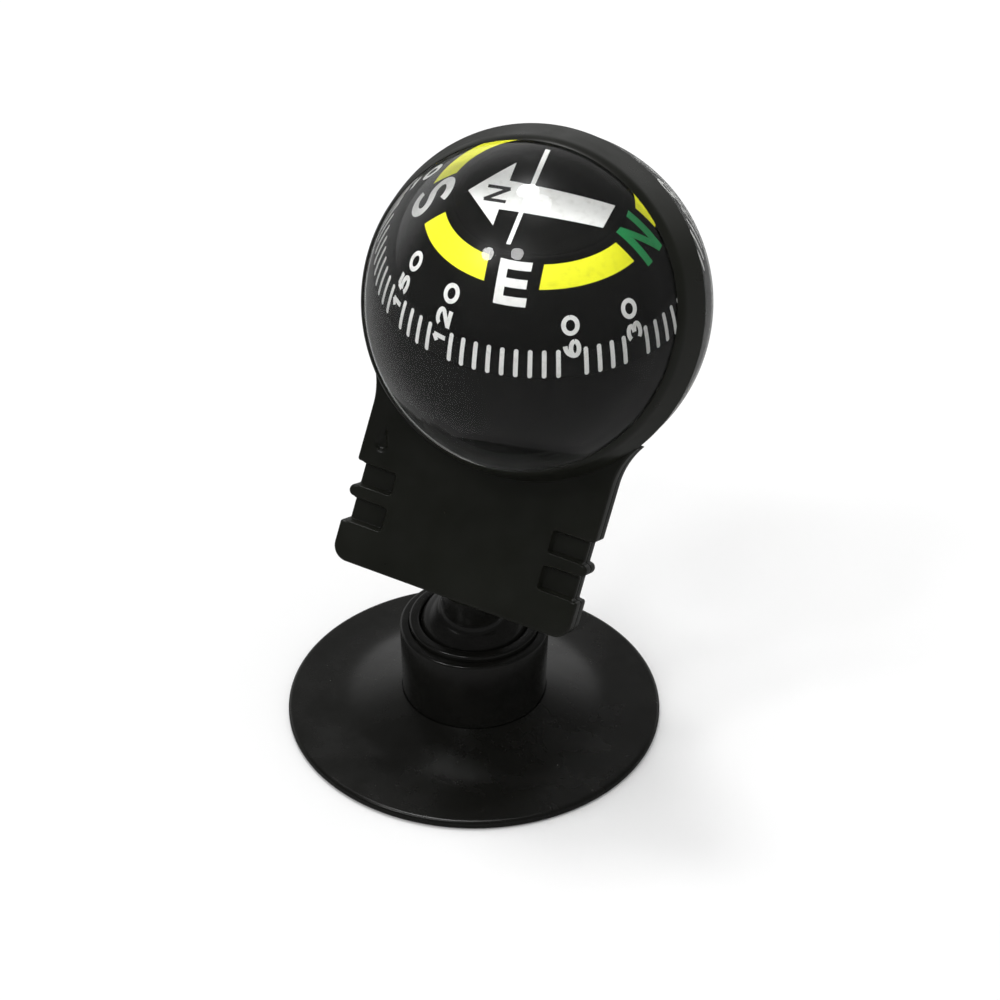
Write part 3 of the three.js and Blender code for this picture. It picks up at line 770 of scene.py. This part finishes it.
lip_radius = np.sqrt(collar_inner ** 2 - collar_reach ** 2)
lip_angle = np.degrees(np.arcsin(collar_reach / collar_inner))
back_angle = np.degrees(np.arcsin(collar_back / collar_inner))
bevel_depth = collar_reach - collar_bevel
bevel = np.array([np.sqrt(collar_inner ** 2 - bevel_depth ** 2) + collar_wall - facet_room, -bevel_depth])
lip_edge = np.array([lip_radius + collar_lip - facet_room, -collar_reach])
collar_rear = np.array([collar_outer - facet_room, -collar_back])
collar_outline = np.vstack([
    line((lip_radius, -collar_reach), lip_edge - [0.04, 0], lip_edge + [0.01, 0.03]),
    flare(bevel + 0.2 * (lip_edge - bevel), bevel, bevel + 0.1 * (collar_rear - bevel), 8),
    collar_rear - [[0.02, 0.1], [0.05, 0.03], [0.12, 0]],
    bend(0, 0, collar_inner, -back_angle, -lip_angle, 16)[:-1],
])
front_shape = joined(
    plate(-frame_front, seam, face_round, seam_round, True),
    turned_back(collar_outline, 256, ring=True),
)
piece("front_moulding", front_shape, on_frame, [satin], "head", ["front_frame"])

cradle_angle = np.arcsin(cradle_across / cradle_outer)
cradle_end = np.degrees(np.arcsin(cradle_reach / collar_inner))
cradle_outline = np.vstack([
    line((cradle_outer, seam + layer_gap)),
    corner(cradle_outer, cradle_reach, cradle_round, 0, 5),
    bend(0, 0, collar_inner, cradle_end, np.degrees(np.arcsin((seam + layer_gap) / collar_inner)), 10),
])


def boss():
    """Slanted boss: circles about the stem's line, from its rounded foot up to where each line of it meets the
    rear frame, with the peg's blind bore in its foot."""
    angle = np.arange(96) * 2 * np.pi / 96
    start = stem_reach + fit_gap
    foot = corner(boss_radius, start, boss_foot_round, -90, 6)[::-1]
    tilt = about_x(stem_angle)
    base = np.array([0, head_setback, -head_height])

    def ring_at(length, radius):
        circle = np.stack([radius * np.cos(angle), radius * np.sin(angle), length + 0 * angle], -1)
        return circle @ tilt.T + base

    long = np.full(len(angle), 10.0)
    for _ in range(3):
        long = long + (ring_at(long, boss_radius)[:, 1] - frame_rear * 0.4) / np.sin(stem_angle)
    top = ring_at(long, boss_radius)
    bore = peg_radius + fit_gap
    rings = [np.repeat(top.mean(0)[None], len(angle), 0), top]
    rings += [ring_at(h, r) for r, h in foot]
    rings += [ring_at(start, bore), ring_at(start + peg_length, bore), ring_at(start + peg_length, 0.0)]
    points = np.vstack(rings)
    return outward(points, grid(len(rings), len(angle), False, True))


rear_shape = joined(
    plate(seam + layer_gap, frame_rear, seam_round, back_round, False),
    swept_back(cradle_outline, -cradle_angle, cradle_angle),
    boss(),
)
piece("rear_moulding", rear_shape, on_frame, [satin], "head", ["rear_frame"])


def screw(x, z):
    """A slotted screw: shank and head turned about Y, and on the head two half moons with the slot between them.

    A half moon's rows run out from the slot's wall, in equal shares of the way to the head's rim, and its face
    falls away at the rim by a small rounding.
    """
    head_front = frame_rear - screw_head_height + 0.12
    slot_floor = frame_rear - screw_slot_depth
    tip = seam - screw_bite
    shaft = turned_back(line(
        (0, tip), (screw_shank_radius - screw_chamfer, tip), (screw_shank_radius, tip + screw_chamfer),
        (screw_shank_radius, head_front), (screw_head_radius, head_front), (screw_head_radius, slot_floor),
        (0, slot_floor)), 64)
    half_slot = screw_slot_width / 2
    half_moon = np.sin(np.linspace(-np.pi / 2, np.pi / 2, 33))[:, None]
    along = np.sqrt(screw_head_radius ** 2 - half_slot ** 2) * half_moon
    share = np.array([0, 0.1, 0.25, 0.5, 0.7, 0.82, 0.9, 0.95, 0.98, 1])[None, :]
    room = np.sqrt(screw_head_radius ** 2 - along ** 2) - half_slot
    moon = np.stack([along + 0 * share, half_slot + share * room], -1)

    def chart(flat, height):
        rim = screw_head_radius - np.linalg.norm(flat, axis=-1)
        fall = round_over(rim, screw_edge_round) * (height > 0)
        return np.stack([flat[..., 0], slot_floor + height - fall, flat[..., 1]], -1)

    upper = sheet_slab(moon, chart, screw_slot_depth, 0.1)
    lower = sheet_slab(-moon, chart, screw_slot_depth, 0.1)
    points, faces = joined(shaft, upper, lower)
    return points + [x, 0, z], faces


for count, (x, z) in enumerate(screw_places, 1):
    piece(f"slotted_screw_{count}", screw(x, z), on_frame, [screw_steel], "head", [f"frame_screw_{count}"],
          sharp=30)


# Clear ball

def dome_outline(start, stop, hole):
    """Shell between two balls, from an angle near the seam to the pole or to the plug's hole at the back."""
    outer_stop = stop if hole == 0 else np.degrees(np.arccos(hole / dome_radius))
    inner_stop = stop if hole == 0 else np.degrees(np.arccos(hole / dome_inner))
    outer = bend(0, 0, dome_radius, np.degrees(np.arcsin(start / dome_radius)), outer_stop, 72)
    inner = bend(0, 0, dome_inner, inner_stop, np.degrees(np.arcsin(start / dome_inner)), 72)
    return np.vstack([outer, inner])


def inside_wall(middles):
    """Picks the second material for faces on the inner ball."""
    return np.linalg.norm(middles, axis=1) < (dome_radius + 2 * dome_inner) / 3


front_outline = dome_outline(dome_seam - seal_thickness / 2, -90, 0)
rear_outline = dome_outline(dome_seam + seal_thickness / 2, 90, plug_hole_radius)
for node, outline in (("front_dome", front_outline), ("rear_dome", rear_outline)):
    piece(f"{node}_moulding", turned_back(outline, ring=True), on_frame, [dome_outside, dome_inside], "head", [node],
          choose=inside_wall)
piece("filling", turned_back(bend(0, 0, dome_inner + liquid_overlap, -90, 90, 96)), on_frame, [liquid], "head")

seal_front = dome_seam - seal_thickness / 2 + fit_gap
seal_rear = dome_seam + seal_thickness / 2 - fit_gap
seal_outline = line(
    (seal_inner, seal_front), (seal_outer, seal_front), (seal_outer, seal_rear), (seal_inner, seal_rear))
piece("seal_ring", turned_back(seal_outline, ring=True), on_frame, [seal_rubber], "head", ["dome_seal"])

plug_seat = dome_radius + fit_gap
plug_top = plug_seat + plug_head_height
plug_outline = np.vstack([
    line((0, dome_inner), (plug_radius, dome_inner), (plug_radius, plug_seat)),
    corner(plug_head_radius, plug_seat, plug_foot_round, -90, 4),
    bend(plug_head_radius - plug_edge_round, plug_top - plug_edge_round, plug_edge_round, 0, 80, 8),
    line((0, plug_top)),
])
piece("plug_moulding", turned_back(plug_outline, 96), on_frame, [plug_plastic], "head", ["filling_plug"])

# Card

top_angle = np.degrees(np.arcsin(card_top / card_radius))
flat_radius = card_radius * np.cos(np.radians(top_angle))
inner_radius = card_radius - card_wall
upper_outline = np.vstack([
    line((card_radius - card_rebate, 0.05)),
    bend(0, 0, card_radius, 0.22, top_angle - 1, 48),
    bend(flat_radius - 0.33, card_top - card_edge_round, card_edge_round, 40, 90, 6),
    line((0, card_top), (0, card_top - card_wall)),
    bend(0, 0, inner_radius, np.degrees(np.arcsin((card_top - card_wall) / inner_radius)),
         np.degrees(np.arcsin(card_step / inner_radius)), 24),
    line((card_radius - card_rebate, card_step)),
])
piece("card_upper_moulding", turned(upper_outline, ring=True), on_card, [card_black], "card", ["card_upper"])
lower_outline = np.vstack([
    bend(0, 0, card_radius, card_open_angle, -1.4, 48),
    bend(card_radius - 0.2, -0.25, 0.17, -20, 90, 5),
    line((inner_radius, -0.05)),
    bend(0, 0, inner_radius, -4, card_open_angle, 32),
])
piece("card_lower_moulding", turned(lower_outline, ring=True), on_card, [card_black], "card", ["card_lower"])
ballast_outline = np.vstack([
    bend(0, pivot_tip, pivot_tip_radius, -90, 0, 6),
    line((pivot_radius, -card_radius), (pivot_radius, ballast_foot), (ballast_radius, ballast_foot)),
    corner(ballast_radius, ballast_top, ballast_round, 0, 5),
    line((0, ballast_top)),
])
piece("ballast_weight", turned(ballast_outline, 96), on_card, [screw_steel], "card", ["card_ballast"])


def on_ball(radius, down, round_it):
    """Points of a ball: its radius times (sin down sin round, -sin down cos round, cos down)."""
    flat = radius * np.sin(down)
    return np.stack([flat * np.sin(round_it), -flat * np.cos(round_it), radius * np.cos(down)], -1)


def ball_chart(azimuth, colatitude, quarter_turn=False):
    """Lays flat marks on the card's ball: up is towards the top, and across is kept as the distance from the
    upright plane through the mark's middle, by the arcsine of across over the ring's radius.

    A quarter turn makes the text read upwards.
    """
    def chart(flat, height):
        across, up = flat[..., 0], flat[..., 1]
        if quarter_turn:
            across, up = -up, across
        down = np.radians(colatitude) - up / card_radius
        round_it = np.radians(azimuth) + np.arcsin(across / (card_radius * np.sin(down)))
        return on_ball(card_radius + height, down, round_it)
    return chart


def top_chart(flat, height):
    """Lays marks on the card's flat top: first number towards east, second towards north."""
    return np.stack([flat[..., 1] - print_aside, -flat[..., 0], card_top + height + 0 * flat[..., 0]], -1)


def bar(a, b, c, d, steps=8):
    """Four-cornered patch: corners blended by (1-s)(1-t) a + s(1-t) b + s t c + (1-s) t d."""
    s = np.linspace(0, 1, steps + 1)[:, None, None]
    t = np.linspace(0, 1, 3)[None, :, None]
    a, b, c, d = (np.array(p, float) for p in (a, b, c, d))
    return (1 - s) * (1 - t) * a + s * (1 - t) * b + s * t * c + (1 - s) * t * d


def stroke(path, width, rounded=False):
    """Pen stroke: points half the width to either side of the path, drawn in to a half round at each end."""
    path = np.array(path, float)
    run = np.gradient(path, axis=0)
    run /= np.linalg.norm(run, axis=1)[:, None]
    half = np.full(len(path), width / 2)
    if rounded:
        reach = np.array([1, 0.92, 0.72, 0.4]) * width / 2
        short = np.array([0.02, 0.39, 0.69, 0.92]) * width / 2
        path = np.vstack([path[0] - np.outer(reach, run[0]), path, path[-1] + np.outer(reach[::-1], run[-1])])
        run = np.vstack([run[:1].repeat(4, 0), run, run[-1:].repeat(4, 0)])
        half = np.concatenate([short, half, short[::-1]])
    aside = np.stack([-run[:, 1], run[:, 0]], 1) * half[:, None]
    return np.stack([path - aside, path, path + aside], 1)


def straight(first, last, steps=6):
    """Straight path between two points."""
    return np.linspace(first, last, steps + 1)


def oval(start, stop, wide, tall, x, y, steps=16):
    """Part of an oval: its half width and height, and its middle."""
    return bend(0, 0, 1, start, stop, steps) * [wide, tall] + [x, y]


def digit_paths(which):
    """Pen paths of a digit in a cell that reaches from -1 to 1 both ways."""
    if which == "0":
        return [oval(0, 360, 1, 1, 0, 0, 33)]
    if which == "1":
        return [straight((0.15, -1), (0.15, 1)), straight((0.15, 1), (-0.55, 0.4))]
    if which == "2":
        top = oval(170, -35, 0.92, 0.55, 0, 0.45)
        return [np.vstack([top, straight(top[-1], (-0.95, -1))[1:]]), straight((-1.1, -1), (1.1, -1))]
    if which == "3":
        return [oval(155, -90, 0.85, 0.48, -0.05, 0.51), oval(90, -155, 0.95, 0.52, -0.05, -0.49)]
    if which == "4":
        slant = straight((0.4, 1), (-1, -0.4))
        return [slant, straight((-1.05, -0.45), (1.1, -0.45)), straight((0.4, 1), (0.4, -1))]
    if which == "5":
        return [straight((-0.65, 1), (0.8, 1)), straight((-0.62, 1), (-0.75, 0.05)),
                oval(140, -150, 0.95, 0.6, -0.03, -0.39)]
    return [oval(0, 360, 0.92, 0.58, 0, -0.41, 25), oval(180, 92, 1.37, 1.38, 0.45, -0.41)]


def number(text, bearing):
    """Digits of a number side by side, laid on the ball at a bearing.

    Each stroke stands a little prouder than the one before, so that their faces don't meet where they cross.
    """
    marks = []
    for which, down in zip(text, digit_down[len(text)]):
        chart = ball_chart(90 - bearing, down, True)
        for layer, path in enumerate(digit_paths(which)):
            inked = stroke(path * [digit_wide, digit_half], digit_pen)
            marks.append(sheet_slab(inked, chart, ink_rise + layer * ink_step, fine_ink_root))
    return marks


def layered(flats, place):
    """Slabs of a letter's strokes on the ball, each a little prouder than the one before."""
    return [sheet_slab(flat, ball_chart(*place), ink_rise + layer * ink_step, ink_root)
            for layer, flat in enumerate(flats)]


white_marks = []
tick = stroke(straight((0, -tick_reach), (0, tick_reach)), digit_pen, True)
for bearing in range(0, 360, tick_step):
    if bearing not in numbered:
        white_marks.append(sheet_slab(tick, ball_chart(90 - bearing, tick_down), ink_rise, fine_ink_root))
for bearing in numbered:
    white_marks += number(str(bearing), bearing)

wide, tall, pen = letter_wide, letter_tall, letter_pen
east = [bar((-wide, -tall), (-wide, tall), (pen - wide, tall), (pen - wide, -tall))]
for low, reach in ((tall - pen, wide), (-pen / 2, wide - 0.15), (-tall, wide + 0.05)):
    east.append(bar((pen - wide, low), (reach, low), (reach, low + pen), (pen - wide, low + pen)))
white_marks += [sheet_slab(flat, ball_chart(*letter_places["E"]), ink_rise, ink_root) for flat in east]

south = np.vstack([
    oval(25, 270, *south_bowl, 0, south_bowl[1], 26),
    oval(90, -155, *south_foot, 0, -south_foot[1], 26)[1:],
])
white_marks += layered([stroke(south, pen)], letter_places["S"])

west = []
for low, high in ((-west_leg, -west_reach), (-west_leg, 0.0), (west_leg, 0.0), (west_leg, west_reach)):
    west.append(bar((low - pen / 2, -tall), (high - pen / 2, tall), (high + pen / 2, tall), (low + pen / 2, -tall)))
white_marks += layered(west, letter_places["W"])

arrow = [
    bar((-arrow_wing, arrow_neck), (0, arrow_tip), (0, arrow_tip), (arrow_wing, arrow_neck)),
    bar((-shaft_front, arrow_neck), (-shaft_back, arrow_tail), (shaft_back, arrow_tail), (shaft_front, arrow_neck)),
    bar((-hair_left, hair_low), (-hair_start, hair_low), (-hair_start, hair_high), (-hair_left, hair_high)),
    bar((hair_start, hair_low), (hair_right, hair_low), (hair_right, hair_high), (hair_start, hair_high)),
]
white_marks += [sheet_slab(flat, top_chart, ink_rise, ink_root) for flat in arrow]
piece("white_print", joined(*white_marks), on_print, [white_ink], "card")

wide, tall = north_wide, north_tall
north = [
    bar((-wide, -tall), (-wide, tall), (pen - wide, tall), (pen - wide, -tall)),
    bar((wide - pen, -tall), (wide - pen, tall), (wide, tall), (wide, -tall)),
    bar((-wide, tall), (north_slant, -tall), (wide, -tall), (-north_slant, tall)),
]
piece("green_print", joined(*layered(north, letter_places["N"])), on_print, [green_ink], "card")


def arc_band(middle):
    """Band of a ring on the ball, a quarter turn long less a gap at each end.

    Its ends keep a set distance from the upright planes through the letters, so that they run parallel to these.
    """
    down = np.radians(np.linspace(arc_top, arc_bottom, 9))[:, None]
    end = np.radians(45) - np.arcsin(arc_gap / (card_radius * np.sin(down)))
    round_it = np.radians(middle) + end * np.linspace(-1, 1, 49)[None, :]

    def chart(flat, height):
        return on_ball(card_radius + height, flat[..., 0], flat[..., 1])
    return sheet_slab(np.stack([down + 0 * round_it, round_it], -1), chart, ink_rise, ink_root)


piece("yellow_print", joined(*[arc_band(middle) for middle in (45, 135, -45, -135)]), on_print, [yellow_ink], "card")

pointer_letter = [stroke(straight(a, b), pointer_pen) for a, b in (
    ((-0.92, -4.8), (-0.92, -2.73)), ((0.9, -4.8), (0.9, -2.73)), ((0.9, -4.75), (-0.92, -2.78)))]
black_marks = [sheet_slab(flat, top_chart, ink_rise + (4 + layer) * ink_step, 0.0)
               for layer, flat in enumerate(pointer_letter)]
piece("black_print", joined(*black_marks), on_print, [black_ink], "card")

# Nodes that keep their CAD shape

for node, material in (("ball_lining", white_nylon), ("magnet_tray", white_nylon), ("card_magnet", dark_ferrite)):
    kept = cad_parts[node]
    for place in kept.material_slots:
        place.material = material

# Stage, light and camera

def put_together(tree, operation, first, second):
    """Two values put together by a math operation."""
    made = tree.nodes.new("ShaderNodeMath")
    made.operation = operation
    tree.links.new(first, made.inputs[0])
    tree.links.new(second, made.inputs[1])
    return made.outputs["Value"]


def off_a_mirror(tree):
    """One for rays off a mirror: glossy less transmitted, as a ray through clear plastic counts as both."""
    rays = tree.nodes.new("ShaderNodeLightPath")
    return put_together(tree, "SUBTRACT", rays.outputs["Is Glossy Ray"], rays.outputs["Is Transmission Ray"])


floor_mesh = bpy.data.meshes.new("floor")
corners = [(x * floor_reach, y * floor_reach, 0) for x, y in ((-1, -1), (1, -1), (1, 1), (-1, 1))]
floor_mesh.from_pydata(corners, [], [(0, 1, 2, 3)])
floor = bpy.data.objects.new("floor", floor_mesh)
bpy.context.scene.collection.objects.link(floor)
# The floor is pale to the camera and to matt surfaces, but painted dark grey (0.16) where a mirror or polish sees it:
# a painted shade that darkens its reflections.
paper = Finish("pale_floor", (0.97, 0.97, 0.97), 0.8, 0.0)
darkened_in_reflections = put_together(paper.tree, "SUBTRACT", paper.noise(30, 2), off_a_mirror(paper.tree))
paper.tint(darkened_in_reflections, [(0.0, (0.16, 0.16, 0.16)), (0.25, (0.965, 0.965, 0.963)), (0.7, (0.975, 0.975, 0.975))])
floor_mesh.materials.append(paper.material)


def set_up(thing, turn, at):
    """Turns and moves a lamp or the camera, in metres."""
    thing.matrix_world = Matrix([[*turn[i], at[i]] for i in range(3)] + [[0, 0, 0, 1]])


def soft_lamp(name, azimuth, elevation, size, power):
    """Round soft lamp that looks at the compass from an azimuth (from the front, to the right) and elevation."""
    data = bpy.data.lights.new(name, "AREA")
    data.shape = "DISK"
    data.size = size
    data.energy = power
    lamp = bpy.data.objects.new(name, data)
    a, e = np.radians(azimuth), np.radians(elevation)
    out = np.array([np.sin(a) * np.cos(e), -np.cos(a) * np.cos(e), np.sin(e)])
    side = np.array([np.cos(a), np.sin(a), 0])
    turn = np.stack([side, np.cross(out, side), out], 1)
    at = out * lamp_distance + [0, 0, lamp_aim_height]
    set_up(lamp, turn, at)
    bpy.context.scene.collection.objects.link(lamp)


soft_lamp("left_lamp", -36, 53, 0.13, 0.8)
soft_lamp("middle_lamp", -6, 62.5, 0.13, 0.5)
soft_lamp("side_lamp", -141, 69, 0.18, 2.0)
soft_lamp("high_lamp", -150, 80, 0.26, 0.9)

world = bpy.data.worlds.new("studio")
bpy.context.scene.world = world
world.use_nodes = True
sky = world.node_tree
sky.nodes.clear()

# Polished pieces see the pale backdrop behind the compass and a dim room before it and overhead.
ahead = sky.nodes.new("ShaderNodeTexCoord").outputs["Generated"]
facing = sky.nodes.new("ShaderNodeVectorMath")
facing.operation = "DOT_PRODUCT"
facing.inputs[1].default_value = backdrop_way
sky.links.new(ahead, facing.inputs[0])
towards = map_range(sky, facing.outputs["Value"], 0.3, 0.8, 0.0, 1.0, "SMOOTHSTEP")
raised = sky.nodes.new("ShaderNodeSeparateXYZ")
sky.links.new(ahead, raised.inputs["Vector"])
falling = map_range(sky, raised.outputs["Z"], 0.25, 0.72, backdrop_level, room_level, "SMOOTHSTEP")
seen_in_polish = map_range(sky, towards, 0.0, 1.0, room_level, falling)
level = map_range(sky, off_a_mirror(sky), 0.0, 1.0, soft_level, seen_in_polish)
camera_ray = sky.nodes.new("ShaderNodeLightPath").outputs["Is Camera Ray"]
glow = sky.nodes.new("ShaderNodeBackground")
glow.inputs["Color"].default_value = (1, 1, 1, 1)
sky.links.new(put_together(sky, "MAXIMUM", level, camera_ray), glow.inputs["Strength"])
sky.links.new(glow.outputs["Background"], sky.nodes.new("ShaderNodeOutputWorld").inputs["Surface"])

camera_data = bpy.data.cameras.new("camera")
camera_data.sensor_width = 36
camera_data.lens = camera_lens
camera_data.clip_end = 20
camera = bpy.data.objects.new("camera", camera_data)
bpy.context.scene.collection.objects.link(camera)
right = np.array([1, 0, 0])
above = np.array([0, np.sin(camera_down), np.cos(camera_down)])
back = np.array([0, -np.cos(camera_down), np.sin(camera_down)])
level_turn = np.stack([right, above, back], 1) @ about_z(camera_tilt)
set_up(camera, about_z(camera_swing) @ level_turn, about_z(camera_swing) @ camera_place * MM)
bpy.context.scene.camera = camera
bpy.context.scene.view_settings.view_transform = "Standard"
